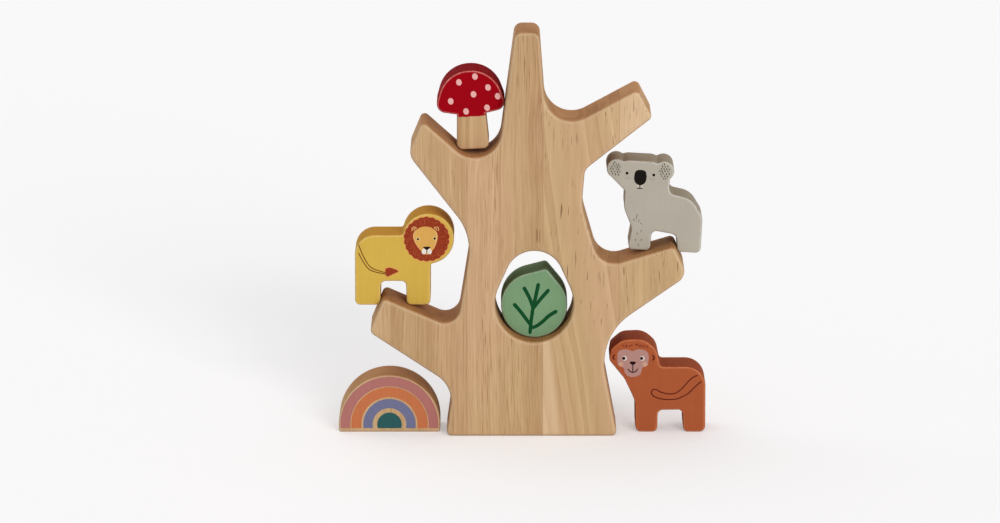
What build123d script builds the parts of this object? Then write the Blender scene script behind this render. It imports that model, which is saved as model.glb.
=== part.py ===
"""Wooden balancing game: a flat tree with five branches, and nine figures to stack on it.

Millimetres, +Z up, +X to the right as seen from the front, which faces -Y. The origin is the
centre of the tree's foot. Every piece is a profile sawn from a thick board, with its rims
rounded over. The tree's board is glued up from upright staves, and each stave is its own piece.
"""

import math
import os
import string

from build123d import *

# Tree
TREE_SPAN = 190.5
TREE_HEIGHT = 246.0
TREE_THICKNESS = 38.0
TREE_BEND = 10.0
TREE_RIM_ROUND = 2.5
STAVE_WIDTH = 45.5
MIDDLE_JOINT_X = 6.7

# Egg-shaped hole through the trunk
HOLE_TOP_RADIUS = 17.5
HOLE_BOTTOM_RADIUS = 23.4
HOLE_RISE = 14.5
HOLE_HEIGHT_SHARE = 0.331
HOLE_X = 1.6

# Shared by the figures
FIGURE_THICKNESS = 27.0
FIGURE_RIM_ROUND = 1.5
FIGURE_BEND = 3.0
CLEARANCE = 0.3

# Leaf
LEAF_RADIUS = 19.9
LEAF_TIP_RADIUS = 2.7
LEAF_TIP_RISE = 19.4
LEAF_TIP_LEAN = 6.3

# Mushroom
CAP_EDGE_WIDTH = 43.8
CAP_CROWN_WIDTH = 28.0
CAP_HEIGHT = 26.6
CAP_EDGE_RADIUS = 5.5
CAP_EDGE_RISE = 2.6
CAP_CROWN_SHARE = 0.98
STALK_LENGTH = 21.3
STALK_TOP_WIDTH = 16.6
STALK_FOOT_WIDTH = 19.6
STALK_BEND = 3.6
MUSHROOM_TILT = 3.0
MUSHROOM_START_X = -42.0
MUSHROOM_START_SHARE = 0.80

# Rainbow
RAINBOW_RADIUS = 30.5
RAINBOW_STILT = 4.7
RAINBOW_BEND = 1.6
RAINBOW_X = -85.5

# Lion
LION_LENGTH = 59.4
LION_BACK_HEIGHT = 42.9
LION_HEAD_RADIUS = 15.4
LION_HEAD_RISE = 40.6
LION_CHEST_SHARE = 0.763
LION_NECK_BEND = 1.8
LION_THROAT_BEND = 2.5
LION_TILT = 0.0
LION_START_X = -125.0
LION_START_SHARE = 0.40

# Koala
KOALA_LENGTH = 59.0
KOALA_SHOULDER_HEIGHT = 35.4
KOALA_EAR_RADIUS = 6.0
KOALA_EAR_HEIGHT = 48.8
KOALA_CROWN_RADIUS = 8.0
KOALA_CROWN_WIDTH = 28.5
KOALA_CROWN_X_SHARE = 0.335
KOALA_CROWN_DROP = 0.4
KOALA_DIP_BEND = 2.0
KOALA_TILT = -3.0
KOALA_START_X = 48.0
KOALA_START_SHARE = 0.47

# Monkey
MONKEY_LENGTH = 57.2
MONKEY_HEIGHT = 57.0
MONKEY_X = 47.6

# Lemur, fox and crocodile, which stand behind the trunk
LEMUR_LENGTH = 42.0
LEMUR_HEIGHT = 60.0
LEMUR_X = -43.5
FOX_LENGTH = 44.0
FOX_HEIGHT = 46.0
FOX_GAP = 2.0
CROCODILE_LENGTH = 84.0
CROCODILE_HEIGHT = 24.0

# Corners of each outline: share of the length, share of the height, share of the bend radius
TREE_CORNER_SHARES = [
    (-0.269, 0.000, 0.29),
    (-0.247, 0.124, 1.80),
    (-0.510, 0.259, 0.36),
    (-0.465, 0.345, 0.29),
    (-0.235, 0.268, 0.93),
    (-0.187, 0.500, 3.30),
    (-0.387, 0.700, 0.95),
    (-0.342, 0.784, 0.29),
    (-0.116, 0.628, 1.60),
    (-0.053, 1.000, 0.50),
    (0.024, 1.000, 0.50),
    (0.049, 0.742, 1.67),
    (0.331, 0.860, 0.33),
    (0.377, 0.791, 0.30),
    (0.166, 0.662, 0.75),
    (0.157, 0.574, 3.60),
    (0.215, 0.419, 1.30),
    (0.447, 0.473, 0.30),
    (0.490, 0.400, 0.80),
    (0.210, 0.248, 3.60),
    (0.271, 0.000, 0.29),
]
LION_CORNER_SHARES = [
    (0.000, 0.000, 1.0),
    (0.256, 0.000, 1.0),
    (0.258, 0.340, 1.1),
    (0.515, 0.340, 1.0),
    (0.520, 0.000, 1.0),
    (0.761, 0.000, 1.0),
    (0.763, 0.700, 0.0),
    (0.673, 1.000, 0.0),
    (0.000, 1.000, 4.0),
]
KOALA_CORNER_SHARES = [
    (0.259, 0.000, 0.9),
    (0.288, 0.373, 2.7),
    (0.197, 0.706, 4.0),
    (0.197, 1.006, 1.0),
    (0.030, 1.267, 0.0),
    (0.102, 1.387, 0.0),
    (0.583, 1.370, 0.0),
    (0.648, 1.314, 0.0),
    (0.644, 1.000, 1.4),
    (0.873, 0.932, 4.0),
    (1.000, 0.621, 3.3),
    (1.000, 0.000, 1.0),
    (0.766, 0.000, 0.8),
    (0.742, 0.294, 1.3),
    (0.493, 0.350, 1.0),
    (0.485, 0.000, 0.9),
]
KOALA_EAR_SHARES = (0.102, 0.583)
MONKEY_CORNER_SHARES = [
    (0.264, 0.000, 1.2),
    (0.260, 0.333, 6.0),
    (0.147, 0.575, 2.6),
    (-0.016, 0.779, 1.2),
    (0.003, 0.898, 1.4),
    (0.122, 1.000, 3.0),
    (0.350, 1.010, 4.0),
    (0.483, 0.895, 3.3),
    (0.521, 0.709, 0.8),
    (1.000, 0.709, 4.0),
    (1.000, 0.000, 1.2),
    (0.769, 0.000, 1.0),
    (0.760, 0.239, 1.0),
    (0.500, 0.235, 1.0),
    (0.493, 0.000, 1.0),
]
LEMUR_CORNER_SHARES = [
    (0.000, 0.000, 1.0),
    (0.280, 0.000, 1.0),
    (0.290, 0.180, 1.0),
    (0.620, 0.180, 1.0),
    (0.630, 0.000, 1.0),
    (0.930, 0.000, 1.0),
    (0.930, 0.520, 1.4),
    (1.020, 0.760, 2.0),
    (0.960, 1.000, 0.7),
    (0.800, 0.900, 1.0),
    (0.600, 0.900, 1.0),
    (0.440, 1.000, 0.7),
    (0.390, 0.740, 2.0),
    (0.470, 0.600, 1.0),
    (0.000, 0.580, 4.0),
]
FOX_CORNER_SHARES = [
    (0.050, 0.000, 1.0),
    (0.320, 0.000, 1.0),
    (0.330, 0.240, 1.0),
    (0.690, 0.240, 1.0),
    (0.700, 0.000, 1.0),
    (0.960, 0.000, 1.0),
    (0.960, 0.720, 2.2),
    (0.620, 0.720, 1.2),
    (0.580, 1.000, 0.7),
    (0.430, 0.890, 1.0),
    (0.230, 0.890, 1.0),
    (0.080, 1.000, 0.7),
    (0.000, 0.640, 1.8),
    (0.110, 0.460, 1.4),
]
CROCODILE_CORNER_SHARES = [
    (0.160, 0.000, 1.0),
    (0.300, 0.000, 1.0),
    (0.310, 0.300, 1.0),
    (0.580, 0.300, 1.0),
    (0.590, 0.000, 1.0),
    (0.730, 0.000, 1.0),
    (0.740, 0.320, 1.0),
    (1.000, 0.340, 0.9),
    (1.000, 0.660, 1.0),
    (0.840, 0.740, 2.0),
    (0.780, 1.000, 1.4),
    (0.200, 1.000, 4.0),
    (0.000, 0.680, 0.9),
    (0.000, 0.480, 0.7),
    (0.150, 0.400, 2.0),
]

# How finely a figure is lowered onto the branch that carries it
SETTLE_STEP = 2.0
SETTLE_TOLERANCE = 0.02
SLIP_SHARE = 0.5

# Worked out from the sizes above
HOLE_Z = HOLE_HEIGHT_SHARE * TREE_HEIGHT
FIGURE_Y = (TREE_THICKNESS - FIGURE_THICKNESS) / 2
REAR_Y = (TREE_THICKNESS + FIGURE_THICKNESS) / 2 + CLEARANCE
LAST_ROW_Y = REAR_Y + FIGURE_THICKNESS + CLEARANCE
FOX_X = LEMUR_X + LEMUR_LENGTH + FOX_GAP

os.makedirs("parts", exist_ok=True)


def draw_outline(corner_shares, length, height, bend):
    """Draws a closed outline through corners, each softened by its share of the bend."""
    FilletPolyline(
        *[(x_share * length, z_share * height) for x_share, z_share, _ in corner_shares],
        radius=[bend_share * bend for _, _, bend_share in corner_shares],
        close=True,
    )


def upright(x, z, y, tilt=0):
    """A plane that faces the front, with its origin at x, y, z and its top edge tilted."""
    lean = math.radians(tilt)
    return Plane(origin=(x, y, z), x_dir=(math.cos(lean), 0, math.sin(lean)), z_dir=(0, -1, 0))


def soften(sketch, corner, radius):
    """Rounds the corner of a sketch that lies nearest to a point."""
    fillet(sketch.vertices().sort_by_distance(corner)[0], radius)


def saw(profile, plane, thickness, rim_round):
    """Saws a profile from a board and rounds over its front and back rims."""
    with BuildPart() as piece:
        with BuildSketch(plane):
            add(profile.sketch)
        extrude(amount=thickness / 2, both=True)
        rims = piece.edges().group_by(Axis.Y)
        fillet(rims[0] + rims[-1], rim_round)
    return piece


def keep(piece, name):
    """Labels a finished piece and writes its file."""
    piece.part.label = name
    export_step(piece.part, f"parts/{name}.step")


def seat(profile, x, z, trunk_side, tilt=0):
    """Lets a profile sink onto the tree as a hand would let it go: down where it can, then
    towards the trunk, then down and away from the trunk, in ever finer steps."""
    tree_face = tree_profile.sketch.face()
    figure_face = profile.sketch.face()
    moves = [(0, -1), (trunk_side, 0), (-trunk_side * SLIP_SHARE, -1)]
    step = SETTLE_STEP
    while step > SETTLE_TOLERANCE:
        for move_x, move_z in moves:
            next_x, next_z = x + move_x * step, z + move_z * step
            moved = figure_face.moved(Location((next_x, next_z, 0), (0, 0, tilt)))
            if tree_face.distance_to(moved) >= CLEARANCE:
                x, z = next_x, next_z
                break
        else:
            step /= 2
    return x, z


# Tree profile, with its egg-shaped hole
with BuildSketch() as tree_profile:
    with BuildLine():
        draw_outline(TREE_CORNER_SHARES, TREE_SPAN, TREE_HEIGHT, TREE_BEND)
    make_face()
    with BuildSketch(mode=Mode.PRIVATE) as hole_profile:
        with Locations((HOLE_X, HOLE_Z)):
            Circle(HOLE_BOTTOM_RADIUS)
        with Locations((HOLE_X, HOLE_Z + HOLE_RISE)):
            Circle(HOLE_TOP_RADIUS)
        make_hull()
    add(hole_profile.sketch, mode=Mode.SUBTRACT)

# Leaf, which lies in the hole
with BuildSketch() as leaf_profile:
    with Locations((0, LEAF_RADIUS)):
        Circle(LEAF_RADIUS)
    with Locations((LEAF_TIP_LEAN, LEAF_RADIUS + LEAF_TIP_RISE)):
        Circle(LEAF_TIP_RADIUS)
    make_hull()

# Mushroom: a tapered stalk under a domed cap, whose underside rises to its edge and whose two
# crown corners meet in one arc
CAP_LEAN = math.atan2(CAP_HEIGHT - CAP_EDGE_RISE, (CAP_EDGE_WIDTH - CAP_CROWN_WIDTH) / 2)
CAP_CROWN_RADIUS = CAP_CROWN_SHARE * CAP_CROWN_WIDTH / 2 / math.tan(CAP_LEAN / 2)
MUSHROOM_HEIGHT = STALK_LENGTH + CAP_HEIGHT
with BuildSketch() as mushroom_profile:
    with BuildLine():
        FilletPolyline(
            (-CAP_EDGE_WIDTH / 2, STALK_LENGTH + CAP_EDGE_RISE),
            (-STALK_TOP_WIDTH / 2, STALK_LENGTH),
            (STALK_TOP_WIDTH / 2, STALK_LENGTH),
            (CAP_EDGE_WIDTH / 2, STALK_LENGTH + CAP_EDGE_RISE),
            (CAP_CROWN_WIDTH / 2, MUSHROOM_HEIGHT),
            (-CAP_CROWN_WIDTH / 2, MUSHROOM_HEIGHT),
            radius=[CAP_EDGE_RADIUS, 0, 0, CAP_EDGE_RADIUS, CAP_CROWN_RADIUS, CAP_CROWN_RADIUS],
            close=True,
        )
    make_face()
    with BuildLine():
        FilletPolyline(
            (-STALK_FOOT_WIDTH / 2, 0),
            (STALK_FOOT_WIDTH / 2, 0),
            (STALK_TOP_WIDTH / 2, STALK_LENGTH + CAP_EDGE_RADIUS),
            (-STALK_TOP_WIDTH / 2, STALK_LENGTH + CAP_EDGE_RADIUS),
            radius=[STALK_BEND, STALK_BEND, 0, 0],
            close=True,
        )
    make_face()

# Rainbow: a half disc on a low straight stilt
with BuildSketch() as rainbow_profile:
    with Locations((0, RAINBOW_STILT)):
        Circle(RAINBOW_RADIUS)
        Rectangle(2 * RAINBOW_RADIUS, RAINBOW_RADIUS, align=(Align.CENTER, Align.MAX), mode=Mode.SUBTRACT)
    Rectangle(2 * RAINBOW_RADIUS, RAINBOW_STILT, align=(Align.CENTER, Align.MIN))
    for side in (-RAINBOW_RADIUS, RAINBOW_RADIUS):
        soften(rainbow_profile, (side, 0), RAINBOW_BEND)

# Lion: a body on two legs, with a round maned head in front
LION_HEAD_X = LION_LENGTH - LION_HEAD_RADIUS
LION_CHEST_X = LION_CHEST_SHARE * LION_LENGTH
with BuildSketch() as lion_profile:
    with BuildLine():
        draw_outline(LION_CORNER_SHARES, LION_LENGTH, LION_BACK_HEIGHT, FIGURE_BEND)
    make_face()
    with Locations((LION_HEAD_X, LION_HEAD_RISE)):
        Circle(LION_HEAD_RADIUS)
    soften(lion_profile, (LION_HEAD_X - LION_HEAD_RADIUS, LION_BACK_HEIGHT), LION_NECK_BEND)
    soften(lion_profile, (LION_CHEST_X, LION_HEAD_RISE - LION_HEAD_RADIUS), LION_THROAT_BEND)

# Koala: a sitting body, a low crown and two round ears
KOALA_CROWN_Z = KOALA_EAR_HEIGHT + KOALA_EAR_RADIUS - KOALA_CROWN_RADIUS - KOALA_CROWN_DROP
KOALA_DIP_Z = KOALA_CROWN_Z + KOALA_CROWN_RADIUS
KOALA_EARS_X = [ear_share * KOALA_LENGTH for ear_share in KOALA_EAR_SHARES]
KOALA_CROWN_X = KOALA_CROWN_X_SHARE * KOALA_LENGTH
with BuildSketch() as koala_profile:
    with BuildLine():
        draw_outline(KOALA_CORNER_SHARES, KOALA_LENGTH, KOALA_SHOULDER_HEIGHT, FIGURE_BEND)
    make_face()
    with Locations((KOALA_CROWN_X, KOALA_CROWN_Z)):
        SlotOverall(KOALA_CROWN_WIDTH, 2 * KOALA_CROWN_RADIUS)
    with Locations(*[(ear_x, KOALA_EAR_HEIGHT) for ear_x in KOALA_EARS_X]):
        Circle(KOALA_EAR_RADIUS)
    for dip_side, ear_x in zip((-1, 1), KOALA_EARS_X):
        dip_x = (ear_x + KOALA_CROWN_X + dip_side * (KOALA_CROWN_WIDTH / 2 - KOALA_CROWN_RADIUS)) / 2
        soften(koala_profile, (dip_x, KOALA_DIP_Z), KOALA_DIP_BEND)

# Monkey, lemur, fox and crocodile
with BuildSketch() as monkey_profile:
    with BuildLine():
        draw_outline(MONKEY_CORNER_SHARES, MONKEY_LENGTH, MONKEY_HEIGHT, FIGURE_BEND)
    make_face()
with BuildSketch() as lemur_profile:
    with BuildLine():
        draw_outline(LEMUR_CORNER_SHARES, LEMUR_LENGTH, LEMUR_HEIGHT, FIGURE_BEND)
    make_face()
with BuildSketch() as fox_profile:
    with BuildLine():
        draw_outline(FOX_CORNER_SHARES, FOX_LENGTH, FOX_HEIGHT, FIGURE_BEND)
    make_face()
with BuildSketch() as crocodile_profile:
    with BuildLine():
        draw_outline(CROCODILE_CORNER_SHARES, CROCODILE_LENGTH, CROCODILE_HEIGHT, FIGURE_BEND)
    make_face()

# The tree, sawn whole and then parted along its glue joints. Staves are numbered from the middle
# joint outwards, and the pieces of one stave get letters, the largest first.
tree_blank = saw(tree_profile, upright(0, 0, 0), TREE_THICKNESS, TREE_RIM_ROUND)
tree_box = tree_blank.part.bounding_box()
SIDES = {
    "left": (-1, MIDDLE_JOINT_X - tree_box.min.X, Keep.TOP, Keep.BOTTOM),
    "right": (1, tree_box.max.X - MIDDLE_JOINT_X, Keep.BOTTOM, Keep.TOP),
}
for side_name, (way, reach, inner_keep, outer_keep) in SIDES.items():
    stave_count = math.ceil(reach / STAVE_WIDTH)
    for number in range(1, stave_count + 1):
        outer_joint = MIDDLE_JOINT_X + way * number * STAVE_WIDTH
        with BuildPart() as stave:
            add(tree_blank.part)
            split(bisect_by=Plane.YZ.offset(outer_joint - way * STAVE_WIDTH), keep=outer_keep)
            if number < stave_count:
                split(bisect_by=Plane.YZ.offset(outer_joint), keep=inner_keep)
        pieces = stave.solids().sort_by(SortBy.VOLUME, reverse=True)
        for letter, solid in zip(string.ascii_lowercase, pieces):
            with BuildPart() as stave_piece:
                add(solid)
            keep(stave_piece, f"{side_name}_stave_{number}{letter}")

# Where each figure rests: in the hole, in a crotch, hooked over a branch end or on the floor
HOLE_FLOOR_Z = HOLE_Z - HOLE_BOTTOM_RADIUS
mushroom_seat = seat(
    mushroom_profile, MUSHROOM_START_X, MUSHROOM_START_SHARE * TREE_HEIGHT, 1, MUSHROOM_TILT
)
lion_seat = seat(lion_profile, LION_START_X, LION_START_SHARE * TREE_HEIGHT, 1, LION_TILT)
koala_seat = seat(koala_profile, KOALA_START_X, KOALA_START_SHARE * TREE_HEIGHT, -1, KOALA_TILT)
FIGURES = {
    "leaf": (leaf_profile, upright(HOLE_X, HOLE_FLOOR_Z + CLEARANCE, FIGURE_Y)),
    "mushroom": (mushroom_profile, upright(*mushroom_seat, FIGURE_Y, MUSHROOM_TILT)),
    "lion": (lion_profile, upright(*lion_seat, FIGURE_Y, LION_TILT)),
    "koala": (koala_profile, upright(*koala_seat, FIGURE_Y, KOALA_TILT)),
    "monkey": (monkey_profile, upright(MONKEY_X, 0, FIGURE_Y)),
    "rainbow": (rainbow_profile, upright(RAINBOW_X, 0, FIGURE_Y)),
    "lemur": (lemur_profile, upright(LEMUR_X, 0, REAR_Y)),
    "fox": (fox_profile, upright(FOX_X, 0, REAR_Y)),
    "crocodile": (crocodile_profile, upright(-CROCODILE_LENGTH / 2, 0, LAST_ROW_Y)),
}
for name, (profile, plane) in FIGURES.items():
    keep(saw(profile, plane, FIGURE_THICKNESS, FIGURE_RIM_ROUND), name)
print("seats", mushroom_seat, lion_seat, koala_seat)
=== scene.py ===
"""Looks of a wooden balancing game: bare wood, painted wood and the designs printed on it.

Metres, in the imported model's own frame, which has its front at -Y. Each mesh of the model stays
as it is and gets a material. A printed design is a set of thin closed plates on the front and back
of its figure, drawn in millimetres from the figure's own origin, with x to the right and z up.
"""

import math
import random

import bmesh
import bpy
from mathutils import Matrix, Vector


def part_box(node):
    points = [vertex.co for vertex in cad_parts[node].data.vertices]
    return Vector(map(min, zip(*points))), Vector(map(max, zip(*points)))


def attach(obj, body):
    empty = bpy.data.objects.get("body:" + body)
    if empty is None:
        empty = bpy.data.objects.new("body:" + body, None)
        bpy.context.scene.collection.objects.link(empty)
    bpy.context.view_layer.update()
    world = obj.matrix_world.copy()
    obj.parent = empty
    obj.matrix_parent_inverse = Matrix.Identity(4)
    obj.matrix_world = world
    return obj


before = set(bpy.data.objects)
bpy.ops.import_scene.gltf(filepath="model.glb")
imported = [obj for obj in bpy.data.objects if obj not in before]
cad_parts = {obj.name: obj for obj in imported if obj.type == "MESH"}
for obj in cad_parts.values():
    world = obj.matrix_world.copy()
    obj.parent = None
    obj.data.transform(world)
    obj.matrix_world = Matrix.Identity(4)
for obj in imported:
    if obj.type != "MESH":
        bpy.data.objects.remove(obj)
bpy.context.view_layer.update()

MM = 0.001

# Camera, which looks at the middle of the picture from a little above
CAMERA_PLACE = Vector((-0.0189, -3.443, 0.832))
CAMERA_TARGET = Vector((-0.0189, -0.019, 0.1074))
CAMERA_LENS = 211.0

# Studio
FLOOR_RADIUS = 6.0
FLOOR_SIDES = 96
FLOOR_COLOUR = (234, 233, 232)
FLOOR_ROUGHNESS = 0.9
FLOOR_GLOW = 0.41
SKY_COLOUR = (250, 250, 252)
AMBIENT_COLOUR = (238, 238, 242)
AMBIENT_STRENGTH = 0.56

# Lights: where each one comes from, its strength and how many degrees of sky it fills
LIGHTS = {
    "key": (Vector((1.20, -3.10, 1.15)), 1.5, 24.0),
    "fill": (Vector((-1.60, 2.60, 1.60)), 0.75, 80.0),
}

# Random patterns: scale per millimetre, detail, and for most how they are squeezed along x, y and z
DRIFT = (0.022, 2.0, (1, 1, 0.45))
FIBRES = (0.75, 3.0, (1, 1, 0.02))
FINE_FIBRES = (2.6, 2.0, (1, 1, 0.02))
WIDE_BANDS = (0.085, 1.0, (1, 0.4, 0.012))
BLUSH = (0.03, 1.0, (1, 1, 0.16))
NEEDLES = (1.5, 1.0, (1, 1, 0.04))
NEEDLE_PATCHES = (0.11, 1.0, (1, 1, 0.1))
PORES = (1.3, 1.0, (1, 1, 0.055))
PORE_PATCHES = (0.05, 1.0, (1, 1, 0.35))
PAINT_CLOUDS = (0.07, 2.0)
WEAR_PATCHES = (0.5, 2.0)
INK_BLOTS = (0.9, 2.0)
BRUSH_WOBBLE = (0.25, 2.0)

# From how many millimetres away a piece may take its patterns, and over how many they drift sideways
PATTERN_RANGE = 900
DRIFT_REACH = 9.0

# Growth rings: their detail, squeeze and number of steps
RING_DETAIL = 0.0
RING_SQUEEZE = (1, 0.2, 0.006)
RING_STEPS = 5.0

# How much each pattern lightens and darkens the bare wood
BAND_SWING = 0.85
RING_SWING = 0.42
FIBRE_SWING = 0.85
FINE_FIBRE_SWING = 0.75

# Values between which a pattern comes in. More flecks lower those of the pore patches
BLUSH_RAMP = (0.32, 0.68)
NEEDLE_RAMP = (0.55, 0.72)
NEEDLE_PATCH_RAMP = (0.3, 0.7)
PORE_RAMP = (0.645, 0.715)
PORE_PATCH_RAMP = (0.76, 0.88)
FLECK_REACH = 0.36
WEAR_RAMP = (0.25, 0.75)

# Flecks: the heights between which they come in, their strength and how deep they are
FLECK_HEIGHTS = (40.0, 75.0)
FLECK_STRENGTH = 0.85
FLECK_RELIEF = -1.5

# Ramps of how squarely a surface faces the front, or for the ends up or down
WOOD_FRONT_RAMP = (0.1, 0.6)
PAINT_FRONT_RAMP = (0.15, 0.8)
MARK_FRONT_RAMP = (0.5, 0.9)
RIM_RAMPS = ((0.45, 0.75), (0.99, 0.9))
END_RAMP = (0.25, 0.85)

# Screen colours of the bare wood, and what its sides, its end grain and its patches do to them. The
# darker sides and ends are partly the grain and partly painted shade, and the pale rims are a
# painted highlight
WOOD_LIGHT = (219, 185, 142)
WOOD_DARK = (174, 134, 92)
WOOD_LINE = (148, 104, 64)
WOOD_FLECK = (112, 72, 42)
WOOD_PALE = (232, 205, 168)
WOOD_SIDE_GRAIN_AND_SHADE_TINT = (0.97, 0.90, 0.82)
WOOD_END_GRAIN_AND_SHADE_TINT = (0.84, 0.68, 0.54)
WOOD_PINK_TINT = (1.02, 0.99, 1.012)
WOOD_YELLOW_TINT = (0.99, 1.01, 0.96)
WOOD_RIM_HIGHLIGHT_STRENGTH = 0.3

# Glue seams between staves
SEAM_WIDTH = 0.35
SEAM_STRENGTH = 0.28

# Looks of the bare wood: its tone, thin dark lines, growth rings and flecks, and for some the lean
# of the grain, the strength of the fibres and the scale of the rings
STAVE_LOOKS = {
    "left_stave_3a": {"tone": -0.02, "lines": 0.5, "rings": 0.1, "flecks": 0.0},
    "left_stave_2a": {"tone": -0.13, "lines": 0.7, "rings": 0.1, "flecks": 0.0},
    "left_stave_2b": {"tone": -0.05, "lines": 0.5, "rings": 0.1, "flecks": 0.0},
    "left_stave_1a": {"tone": -0.07, "lines": 0.85, "rings": 0.1, "flecks": 0.1, "fibre": 1.15},
    "right_stave_1a": {
        "tone": 0.06, "lines": 0.1, "rings": 0.85, "flecks": 0.8, "lean": 0.16, "fibre": 0.45,
        "ring_scale": 0.06,
    },
    "right_stave_2a": {"tone": 0.04, "lines": 0.3, "rings": 0.3, "flecks": 0.8},
    "right_stave_2b": {"tone": 0.34, "lines": 0.2, "rings": 0.3, "flecks": 1.05, "fibre": 0.9},
}
STALK_LOOK = {
    "seed": 41, "tone": 0.12, "lines": 0.1, "rings": 0.9, "flecks": 0.0, "fibre": 0.6,
    "ring_scale": 0.1,
}
RAINBOW_LOOK = {"seed": 61, "tone": 0.05, "lines": 0.3, "rings": 0.2, "flecks": 0.1}

# Marks in single staves, and one band of painted sheen: x, lowest and highest z, width and lean,
# then colour and strength. The broad pale band on right_stave_2b is the painted sheen
STAVE_MARKS_AND_SHEEN = {
    "right_stave_1a": [(11.2, -5.0, 64.0, 13.0, -0.102, WOOD_PALE, 0.4)],
    # A broad band of painted sheen, paler wood where the light catches this branch
    "right_stave_2b": [(75.0, 0.0, 300.0, 60.0, 0.0, WOOD_PALE, 0.3)],
    "left_stave_1a": [
        (3.2, 118.0, 128.5, 0.65, 0.0, WOOD_FLECK, 0.9),
        (4.8, 117.0, 128.0, 0.5, 0.0, WOOD_FLECK, 0.6),
    ],
}

# Where a mark starts to fade, and where it is gone, as shares of its width, and over what length
MARK_EDGE = (0.3, 0.6)
MARK_FADE = 3.0

# Paints: the seed, the screen colour, the tint of the painted shade on the sides and ends and, for
# some, the colour of the pale rims, which are a painted highlight and wear
PAINTS = {
    "mushroom": (42, (158, 0, 18), (0.75, 0.60, 0.60), (240, 150, 140)),
    "leaf": (51, (124, 160, 120), (0.84, 0.80, 0.70)),
    "lion": (71, (214, 177, 76), (0.90, 0.68, 0.42), (242, 214, 140)),
    "koala": (81, (182, 175, 160), (0.82, 0.74, 0.64)),
    "monkey": (91, (172, 88, 50), (0.80, 0.66, 0.58), (220, 138, 94)),
    "lemur": (101, (150, 158, 168), (0.80, 0.80, 0.82)),
    "fox": (111, (208, 142, 88), (0.84, 0.70, 0.58)),
    "crocodile": (121, (116, 154, 96), (0.80, 0.78, 0.66)),
}

# How strongly the painted shade darkens the sides and ends of paint, where the ends also soak up
# more paint, how pale the painted highlight makes its rims where they have no colour of their own,
# and how strong that pale rim of highlight and wear is at least, and more so in patches of wear
PAINT_SIDE_SHADE_STRENGTH = 0.4
PAINT_END_SOAK_AND_SHADE_STRENGTH = 0.75
RIM_PALENESS = 0.45
RIM_HIGHLIGHT_AND_WEAR_LEAST = 0.25
WEAR_PATCHINESS = 0.5

# Inks: the seed and the screen colour
BLACK = (20, 16, 12)
WHITE = (236, 226, 212)
INKS = {
    "mushroom_dot": (43, (236, 178, 172)),
    "leaf_vein": (52, (12, 76, 38)),
    # The rainbow's inks are a little darker than its print, by a painted shade
    "rainbow_teal": (62, (46, 92, 92)),
    "rainbow_blue": (63, (113, 116, 148)),
    "rainbow_orange": (64, (199, 117, 74)),
    "rainbow_pink": (65, (178, 115, 108)),
    "lion_edge": (69, (226, 158, 92)),
    "lion_cheek": (70, (232, 182, 116)),
    "lion_mane": (72, (152, 58, 32)),
    "lion_hair": (73, (182, 100, 60)),
    "lion_dark_hair": (74, (112, 38, 20)),
    "lion_face": (75, (222, 170, 88)),
    "lion_white": (76, WHITE),
    "lion_black": (77, BLACK),
    "lion_eye_ring": (78, (240, 206, 140)),
    "lion_tail": (79, (112, 62, 22)),
    "koala_black": (82, BLACK),
    "koala_fur": (83, (34, 36, 30)),
    "koala_white": (84, (208, 201, 188)),
    "monkey_face": (92, (181, 138, 129)),
    "monkey_cheek": (93, (206, 160, 132)),
    "monkey_white": (94, (222, 206, 196)),
    "monkey_black": (95, (34, 8, 8)),
    "monkey_line": (96, (88, 24, 14)),
    "lemur_white": (102, WHITE),
    "lemur_dark": (103, (52, 52, 60)),
    "lemur_amber": (104, (206, 140, 52)),
    "lemur_black": (105, BLACK),
    "fox_white": (112, WHITE),
    "fox_brown": (113, (112, 58, 30)),
    "fox_black": (114, BLACK),
    "crocodile_dark": (122, (46, 84, 50)),
    "crocodile_white": (123, WHITE),
    "crocodile_black": (124, BLACK),
}

# How much the fibres, the fine fibres and the clouds or blots shade paint and ink
PAINT_SHADES = (0.10, 0.07, 0.12)
INK_SHADES = (0.10, 0.08, 0.16)

# Gloss, roughness and relief of the surfaces, the relief in metres
WOOD_GLOSS = 0.22
PAINT_GLOSS = 0.10
CAP_GLOSS = 0.04
INK_GLOSS = 0.06
WOOD_ROUGHNESS = 0.52
WOOD_ROUGHNESS_SWING = 0.25
WOOD_SIDE_ROUGHNESS = 0.35
PAINT_ROUGHNESS = 0.5
PAINT_CLOUD_ROUGHNESS = 0.15
PAINT_FIBRE_ROUGHNESS = 0.1
PAINT_SIDE_ROUGHNESS = 0.4
INK_ROUGHNESS = 0.5
INK_ROUGHNESS_SWING = 0.2
STAVE_RELIEF = 0.00006
FIGURE_RELIEF = 0.00005
PAINT_RELIEF = 0.00004
INK_RELIEF = 0.00002

# Printed plates: the thickness of one layer, the step between the plates of a layer, how far they
# reach into the wood, and how thick they are on the far side, where the next figures stand close
LAYER = 0.06
PLATE_STEP = 0.008
PLATE_LEVELS = 6
SINK = 0.05
REAR_SHARE = 0.25

# Each figure's origin from the lowest corner of its box, and the tilt at which it rests
ORIGINS = {
    "leaf": (19.9, 0.0),
    "mushroom": (21.67, 0.32),
    "lion": (0.0, 0.0),
    "koala": (-2.6, 2.9),
    "monkey": (0.7, 0.0),
    "rainbow": (30.5, 0.0),
    "lemur": (0.0, 0.0),
    "fox": (-0.3, 0.0),
    "crocodile": (0.0, 0.0),
}
TILTS = {"mushroom": 3.0, "koala": -3.0}

# Drawing: the points of an arc, and the few points that short strokes and specks need
ARC_STEPS = 48
SHORT = {"steps": 1, "cap_steps": 3}
SPECK_POINTS = 10

# Mushroom: the heights between which its red starts, how far that line wanders, and its dots
CAP_START = (19.7, 20.1)
CAP_WANDER = 1.2
DOT_SIZE = (3.3, 3.9)
DOT_TURN = 10

# Rainbow: the centre of its arches, the height at which they end and their radii
ARCH_CENTRE = (0, 4.7)
ARCH_FOOT = 2.4
ARCHES = {"teal": (0.0, 7.4), "blue": (10.1, 15.8), "orange": (16.9, 23.1), "pink": (23.6, 29.5)}

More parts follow.
